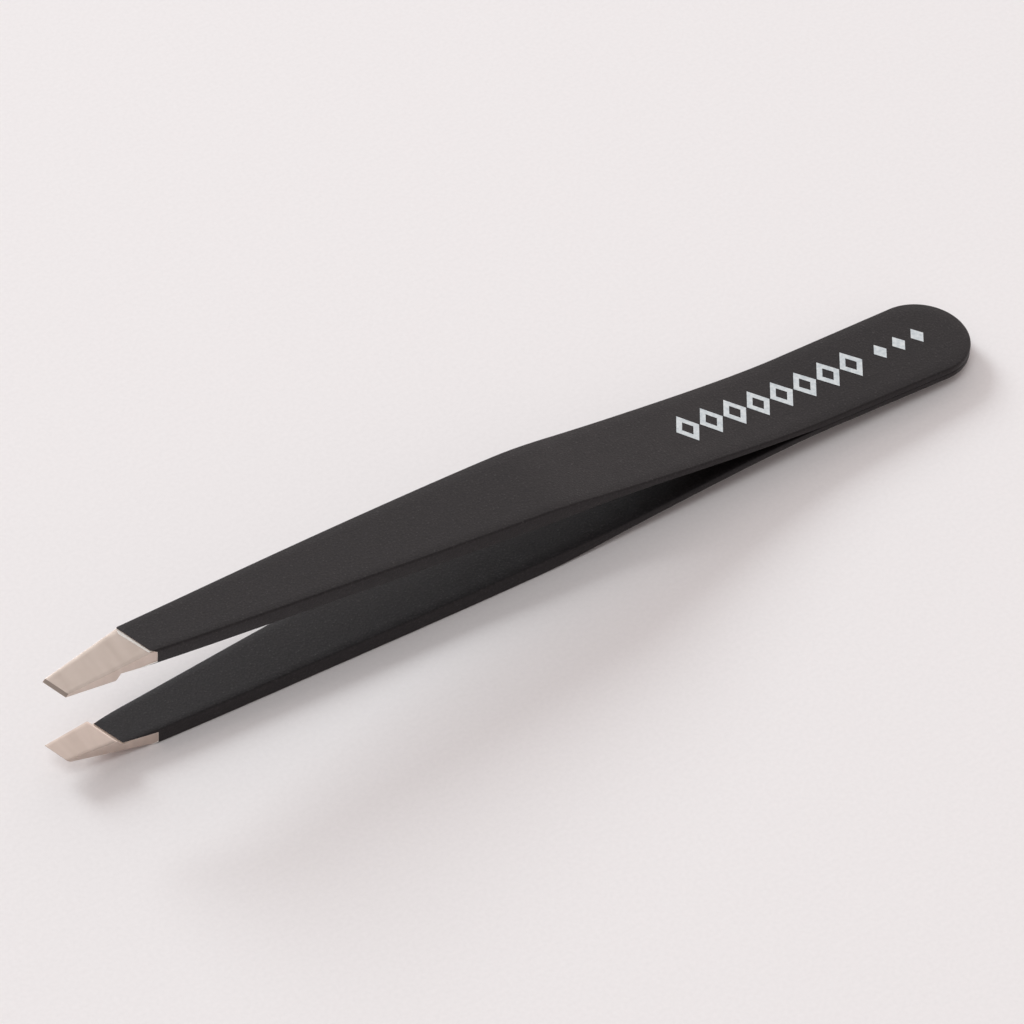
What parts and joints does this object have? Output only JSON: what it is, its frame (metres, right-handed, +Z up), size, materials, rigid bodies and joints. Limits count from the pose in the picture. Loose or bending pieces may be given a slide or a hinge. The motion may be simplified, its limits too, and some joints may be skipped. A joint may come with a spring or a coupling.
{
  "type": "slant tweezers",
  "caption": "Two mirrored spring steel arms joined at a rounded closed end, black coated, with bare slanted jaws that meet when the arms are squeezed.",
  "frame": {"origin": "centre of the bounding box at its base, on the surface that the flat front stretch of the lower arm lies on", "axes": "+X from the tips to the closed end, +Y across the arms, +Z up, from the lower arm to the upper arm"},
  "size_m": [0.0958, 0.0094, 0.0117],
  "materials": {
    "steel": "satin ground stainless steel",
    "black_coating": "fine-textured matte black powder coat"
  },
  "bodies": {
    "closed_end": {"upper_arm_root": "steel", "lower_arm_root": "steel", "spot_welds": "steel", "closed_end_coating": "black_coating"},
    "upper_arm": {"upper_arm": "steel", "upper_arm_coating": "black_coating"},
    "lower_arm": {"lower_arm": "steel", "lower_arm_coating": "black_coating"}
  },
  "joints": [
    {"name": "upper_arm_flex", "type": "hinge", "parent": "closed_end", "child": "upper_arm", "pos_m": [0.02191, 0, 0.00346], "axis": [0, -1, 0], "range_deg": [0, 3.2], "stiffness_Nm_per_rad": 1},
    {"name": "lower_arm_flex", "type": "hinge", "parent": "closed_end", "child": "lower_arm", "pos_m": [0.02183, 0, 0.00187], "axis": [0, 1, 0], "range_deg": [0, 3.2], "stiffness_Nm_per_rad": 1}
  ],
  "couplings": [
    {"joint": "lower_arm_flex", "follows": "upper_arm_flex", "ratio": 1}
  ]
}
